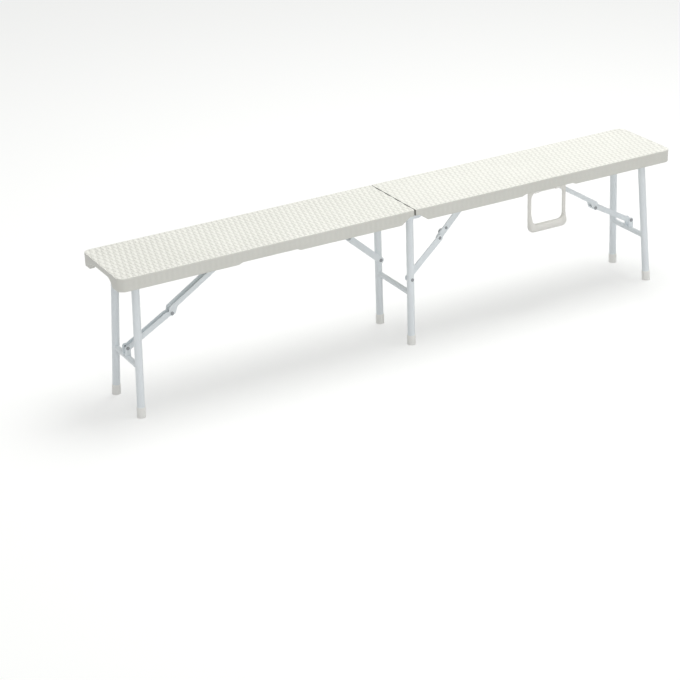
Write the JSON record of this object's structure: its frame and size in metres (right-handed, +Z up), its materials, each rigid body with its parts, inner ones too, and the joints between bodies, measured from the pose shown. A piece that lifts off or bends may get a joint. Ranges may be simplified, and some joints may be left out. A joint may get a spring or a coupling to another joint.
{
  "type": "folding bench",
  "caption": "Long narrow bench with a textured moulded top hinged in the middle, tubular steel legs, folding stays and a carrying handle; it shuts like a suitcase.",
  "frame": {"origin": "on the floor, under the middle of the open bench", "axes": "+X along the bench to its right half, +Y across it to the far side, +Z up"},
  "size_m": [1.83, 0.25, 0.433],
  "materials": {
    "seat_plastic": "moulded weave on top, fine vertical ribs on the rim",
    "powder_coat": "satin powder coat",
    "cap_plastic": "smooth moulded",
    "pressed_steel": "satin powder coat",
    "zinc_fastener": "zinc plated",
    "handle_plastic": "smooth moulded",
    "clip_plastic": "smooth moulded"
  },
  "bodies": {
    "centre_frame": {"centre_top_tube": "powder_coat", "centre_leg_near": "powder_coat", "centre_leg_far": "powder_coat", "centre_foot_near": "cap_plastic", "centre_foot_far": "cap_plastic", "centre_crossbar": "powder_coat", "centre_stay_rivet_right": "zinc_fastener", "centre_stay_rivet_left": "zinc_fastener", "hinge_plate_near": "pressed_steel", "hinge_plate_far": "pressed_steel", "hinge_pins_near": "zinc_fastener", "hinge_pins_far": "zinc_fastener"},
    "right_half": {"seat_right": "seat_plastic", "pivot_saddles_right": "pressed_steel", "hinge_straps_right": "pressed_steel", "stay_bracket_right": "pressed_steel", "stay_pin_right": "zinc_fastener", "bar_bracket_right": "pressed_steel", "bar_pin_right": "zinc_fastener", "handle_clips": "clip_plastic"},
    "right_end_frame": {"end_right_pivot_tube": "powder_coat", "end_right_leg_near": "powder_coat", "end_right_leg_far": "powder_coat", "end_right_foot_near": "cap_plastic", "end_right_foot_far": "cap_plastic", "end_right_crossbar": "powder_coat", "end_right_clevis": "powder_coat", "end_right_clevis_rivets": "zinc_fastener"},
    "right_end_stay_upper": {"stay_right_upper": "powder_coat", "stay_right_knee_rivet": "zinc_fastener"},
    "right_end_stay_lower": {"stay_right_lower": "powder_coat"},
    "right_centre_stay_lower": {"centre_stay_right_lower": "powder_coat", "centre_stay_right_lower_rivet": "zinc_fastener"},
    "right_centre_stay_upper": {"centre_stay_right_upper": "powder_coat", "centre_stay_right_lock": "pressed_steel", "centre_stay_right_upper_rivets": "zinc_fastener"},
    "left_half": {"seat_left": "seat_plastic", "pivot_saddles_left": "pressed_steel", "hinge_straps_left": "pressed_steel", "stay_bracket_left": "pressed_steel", "stay_pin_left": "zinc_fastener", "bar_bracket_left": "pressed_steel", "bar_pin_left": "zinc_fastener"},
    "left_end_frame": {"end_left_pivot_tube": "powder_coat", "end_left_leg_near": "powder_coat", "end_left_leg_far": "powder_coat", "end_left_foot_near": "cap_plastic", "end_left_foot_far": "cap_plastic", "end_left_crossbar": "powder_coat", "end_left_clevis": "powder_coat", "end_left_clevis_rivets": "zinc_fastener"},
    "left_end_stay_upper": {"stay_left_upper": "powder_coat", "stay_left_knee_rivet": "zinc_fastener"},
    "left_end_stay_lower": {"stay_left_lower": "powder_coat"},
    "left_centre_stay_lower": {"centre_stay_left_lower": "powder_coat", "centre_stay_left_lower_rivet": "zinc_fastener"},
    "left_centre_stay_upper": {"centre_stay_left_upper": "powder_coat", "centre_stay_left_lock": "pressed_steel", "centre_stay_left_upper_rivets": "zinc_fastener"},
    "handle": {"handle": "handle_plastic"}
  },
  "joints": [
    {"name": "right_half_fold", "type": "hinge", "parent": "centre_frame", "child": "right_half", "pos_m": [0.018, 0, 0.409], "axis": [0, 1, 0], "range_deg": [0, 90]},
    {"name": "right_end_fold", "type": "hinge", "parent": "right_half", "child": "right_end_frame", "pos_m": [0.8447, 0, 0.404], "axis": [0, 1, 0], "range_deg": [0, 93.1]},
    {"name": "right_end_stay_top", "type": "hinge", "parent": "right_half", "child": "right_end_stay_upper", "pos_m": [0.468, 0, 0.418], "axis": [0, 1, 0], "range_deg": [-32.5, 0]},
    {"name": "right_end_stay_knee", "type": "hinge", "parent": "right_end_stay_upper", "child": "right_end_stay_lower", "pos_m": [0.72013, 0, 0.24692], "axis": [0, 1, 0], "range_deg": [0, 183.4]},
    {"name": "right_centre_stay_foot", "type": "hinge", "parent": "centre_frame", "child": "right_centre_stay_lower", "pos_m": [0, -0.078, 0.208], "axis": [0, 1, 0], "range_deg": [-48.5, 0]},
    {"name": "right_centre_stay_top", "type": "hinge", "parent": "right_half", "child": "right_centre_stay_upper", "pos_m": [0.203, -0.0725, 0.4], "axis": [0, 1, 0], "range_deg": [0, 41.6]},
    {"name": "left_half_fold", "type": "hinge", "parent": "centre_frame", "child": "left_half", "pos_m": [-0.018, 0, 0.409], "axis": [0, -1, 0], "range_deg": [0, 90]},
    {"name": "left_end_fold", "type": "hinge", "parent": "left_half", "child": "left_end_frame", "pos_m": [-0.8447, 0, 0.404], "axis": [0, -1, 0], "range_deg": [0, 93.1]},
    {"name": "left_end_stay_top", "type": "hinge", "parent": "left_half", "child": "left_end_stay_upper", "pos_m": [-0.468, 0, 0.418], "axis": [0, -1, 0], "range_deg": [-32.5, 0]},
    {"name": "left_end_stay_knee", "type": "hinge", "parent": "left_end_stay_upper", "child": "left_end_stay_lower", "pos_m": [-0.72013, 0, 0.24692], "axis": [0, -1, 0], "range_deg": [0, 183.4]},
    {"name": "left_centre_stay_foot", "type": "hinge", "parent": "centre_frame", "child": "left_centre_stay_lower", "pos_m": [0, 0.078, 0.208], "axis": [0, -1, 0], "range_deg": [-48.5, 0]},
    {"name": "left_centre_stay_top", "type": "hinge", "parent": "left_half", "child": "left_centre_stay_upper", "pos_m": [-0.203, 0.0725, 0.4], "axis": [0, -1, 0], "range_deg": [0, 41.6]},
    {"name": "handle_swing", "type": "hinge", "parent": "right_half", "child": "handle", "pos_m": [0.465, -0.11, 0.394], "axis": [-1, 0, 0], "range_deg": [-60, 90]}
  ],
  "couplings": [
    {"joint": "right_end_stay_top", "follows": "right_end_fold", "ratio": -0.34552},
    {"joint": "right_end_stay_knee", "follows": "right_end_fold", "ratio": 1.9658},
    {"joint": "right_centre_stay_foot", "follows": "right_half_fold", "ratio": -0.53569},
    {"joint": "right_centre_stay_top", "follows": "right_half_fold", "ratio": 0.45891},
    {"joint": "left_end_stay_top", "follows": "left_end_fold", "ratio": -0.34552},
    {"joint": "left_end_stay_knee", "follows": "left_end_fold", "ratio": 1.9658},
    {"joint": "left_centre_stay_foot", "follows": "left_half_fold", "ratio": -0.53569},
    {"joint": "left_centre_stay_top", "follows": "left_half_fold", "ratio": 0.45891}
  ]
}
